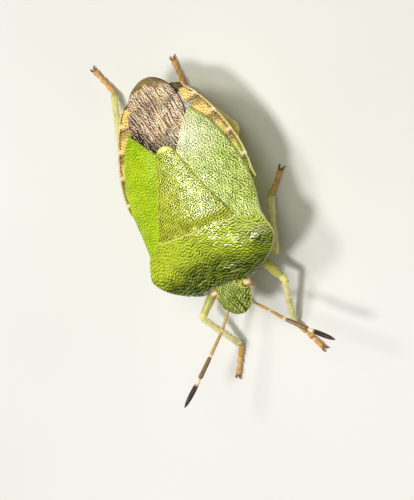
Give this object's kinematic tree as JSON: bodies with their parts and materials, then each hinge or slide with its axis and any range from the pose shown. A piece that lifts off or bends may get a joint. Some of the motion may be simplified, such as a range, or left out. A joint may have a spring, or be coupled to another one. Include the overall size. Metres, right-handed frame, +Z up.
{
  "type": "shield bug, life-size still model",
  "caption": "Green shield bug standing at rest, as a still life-size model: shield-shaped body with folded wings, head with beak and feelers, and legs.",
  "frame": {"origin": "centre of the bug's footprint on the floor that it stands on", "axes": "+Y from head to tail, +X towards the bug's left side, +Z up"},
  "size_m": [0.0096, 0.0182, 0.0047],
  "materials": {
    "cuticle_green": "punctured yellow-green cuticle with a soft gloss",
    "wing_green": "finely punctured leathery green forewing",
    "membrane_brown": "glossy smoky-brown veined membrane",
    "belly_green": "pale green underside and orange-brown banded rim",
    "leg_green": "pale yellow-green leg cuticle with short bristles",
    "tarsus_orange": "orange-brown foot with dark claws",
    "feeler_red": "orange-brown feeler with pale joints and a black end",
    "eye_brown": "brown faceted eye"
  },
  "bodies": {
    "root": {"pronotum": "cuticle_green", "scutellum": "cuticle_green", "head": "cuticle_green", "forewing_left": "wing_green", "forewing_right": "wing_green", "wing_membrane": "membrane_brown", "thorax": "belly_green", "abdomen": "belly_green", "beak": "leg_green", "eye_left": "eye_brown", "eye_right": "eye_brown", "feeler_left": "feeler_red", "feeler_right": "feeler_red", "leg_fore_left_femur": "leg_green", "leg_fore_left_tibia": "leg_green", "leg_fore_left_tarsus": "tarsus_orange", "leg_fore_right_femur": "leg_green", "leg_fore_right_tibia": "leg_green", "leg_fore_right_tarsus": "tarsus_orange", "leg_mid_left_femur": "leg_green", "leg_mid_left_tibia": "leg_green", "leg_mid_left_tarsus": "tarsus_orange", "leg_mid_right_femur": "leg_green", "leg_mid_right_tibia": "leg_green", "leg_mid_right_tarsus": "tarsus_orange", "leg_hind_left_femur": "leg_green", "leg_hind_left_tibia": "leg_green", "leg_hind_left_tarsus": "tarsus_orange", "leg_hind_right_femur": "leg_green", "leg_hind_right_tibia": "leg_green", "leg_hind_right_tarsus": "tarsus_orange"}
  },
  "joints": []
}
